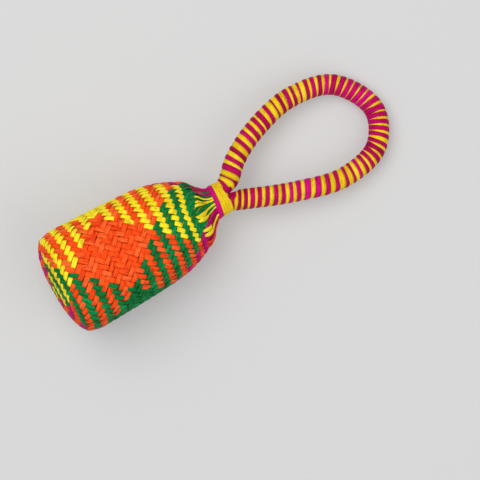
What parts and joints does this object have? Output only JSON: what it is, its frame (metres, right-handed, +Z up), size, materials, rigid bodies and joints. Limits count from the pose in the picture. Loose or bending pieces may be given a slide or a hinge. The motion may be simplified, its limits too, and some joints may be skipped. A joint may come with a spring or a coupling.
{
  "type": "caxixi",
  "caption": "Plaited palm hand rattle: a rounded basket with loose seeds inside, drawn in to a bound neck, with a wrapped drop-shaped loop handle to shake it by.",
  "frame": {"origin": "on the table, at the middle of the rattle's bounding box, as it lies on its side", "axes": "+X from the base to the end of the loop, +Y to the left of that, +Z up"},
  "size_m": [0.26, 0.082, 0.0786],
  "materials": {
    "palm_orange": "dyed palm strip, satin, fine fibre streaks",
    "palm_yellow": "dyed palm strip, satin, fine fibre streaks",
    "palm_green": "dyed palm strip, satin, fine fibre streaks",
    "palm_magenta": "dyed palm strip, satin, fine fibre streaks",
    "handle_fibre": "raw plant fibre, matte",
    "seed_skin": "dry seed coat, slightly glossy"
  },
  "bodies": {
    "rattle": {"woven_body": "palm_orange", "gathered_strands": "palm_green", "handle_core": "handle_fibre", "wrap_magenta_1": "palm_magenta", "wrap_magenta_2": "palm_magenta", "wrap_magenta_3": "palm_magenta", "wrap_magenta_4": "palm_magenta", "wrap_magenta_5": "palm_magenta", "wrap_yellow_1": "palm_yellow", "wrap_yellow_2": "palm_yellow", "wrap_yellow_3": "palm_yellow", "wrap_yellow_4": "palm_yellow", "wrap_yellow_5": "palm_yellow", "neck_binding_magenta": "palm_magenta", "neck_binding_yellow": "palm_yellow"},
    "seed_01": {"seed_01": "seed_skin"},
    "seed_02": {"seed_02": "seed_skin"},
    "seed_03": {"seed_03": "seed_skin"},
    "seed_04": {"seed_04": "seed_skin"},
    "seed_05": {"seed_05": "seed_skin"},
    "seed_06": {"seed_06": "seed_skin"},
    "seed_07": {"seed_07": "seed_skin"},
    "seed_08": {"seed_08": "seed_skin"},
    "seed_09": {"seed_09": "seed_skin"},
    "seed_10": {"seed_10": "seed_skin"},
    "seed_11": {"seed_11": "seed_skin"},
    "seed_12": {"seed_12": "seed_skin"},
    "seed_13": {"seed_13": "seed_skin"},
    "seed_14": {"seed_14": "seed_skin"},
    "seed_15": {"seed_15": "seed_skin"},
    "seed_16": {"seed_16": "seed_skin"}
  },
  "joints": [
    {"name": "seed_01_hop", "type": "slide", "parent": "rattle", "child": "seed_01", "axis": [0.1459, 0, 0.9893], "range_m": [0, 0.0554]},
    {"name": "seed_02_hop", "type": "slide", "parent": "rattle", "child": "seed_02", "axis": [0.1459, 0, 0.9893], "range_m": [0, 0.0604]},
    {"name": "seed_03_hop", "type": "slide", "parent": "rattle", "child": "seed_03", "axis": [0.1459, 0, 0.9893], "range_m": [0, 0.0604]},
    {"name": "seed_04_hop", "type": "slide", "parent": "rattle", "child": "seed_04", "axis": [0.1459, 0, 0.9893], "range_m": [0, 0.0552]},
    {"name": "seed_05_hop", "type": "slide", "parent": "rattle", "child": "seed_05", "axis": [0.1459, 0, 0.9893], "range_m": [0, 0.0535]},
    {"name": "seed_06_hop", "type": "slide", "parent": "rattle", "child": "seed_06", "axis": [0.1459, 0, 0.9893], "range_m": [0, 0.0593]},
    {"name": "seed_07_hop", "type": "slide", "parent": "rattle", "child": "seed_07", "axis": [0.1459, 0, 0.9893], "range_m": [0, 0.0593]},
    {"name": "seed_08_hop", "type": "slide", "parent": "rattle", "child": "seed_08", "axis": [0.1459, 0, 0.9893], "range_m": [0, 0.0535]},
    {"name": "seed_09_hop", "type": "slide", "parent": "rattle", "child": "seed_09", "axis": [0.1459, 0, 0.9893], "range_m": [0, 0.0512]},
    {"name": "seed_10_hop", "type": "slide", "parent": "rattle", "child": "seed_10", "axis": [0.1459, 0, 0.9893], "range_m": [0, 0.0577]},
    {"name": "seed_11_hop", "type": "slide", "parent": "rattle", "child": "seed_11", "axis": [0.1459, 0, 0.9893], "range_m": [0, 0.0577]},
    {"name": "seed_12_hop", "type": "slide", "parent": "rattle", "child": "seed_12", "axis": [0.1459, 0, 0.9893], "range_m": [0, 0.0512]},
    {"name": "seed_13_hop", "type": "slide", "parent": "rattle", "child": "seed_13", "axis": [0.1459, 0, 0.9893], "range_m": [0, 0.0477]},
    {"name": "seed_14_hop", "type": "slide", "parent": "rattle", "child": "seed_14", "axis": [0.1459, 0, 0.9893], "range_m": [0, 0.0551]},
    {"name": "seed_15_hop", "type": "slide", "parent": "rattle", "child": "seed_15", "axis": [0.1459, 0, 0.9893], "range_m": [0, 0.0551]},
    {"name": "seed_16_hop", "type": "slide", "parent": "rattle", "child": "seed_16", "axis": [0.1459, 0, 0.9893], "range_m": [0, 0.0478]}
  ]
}
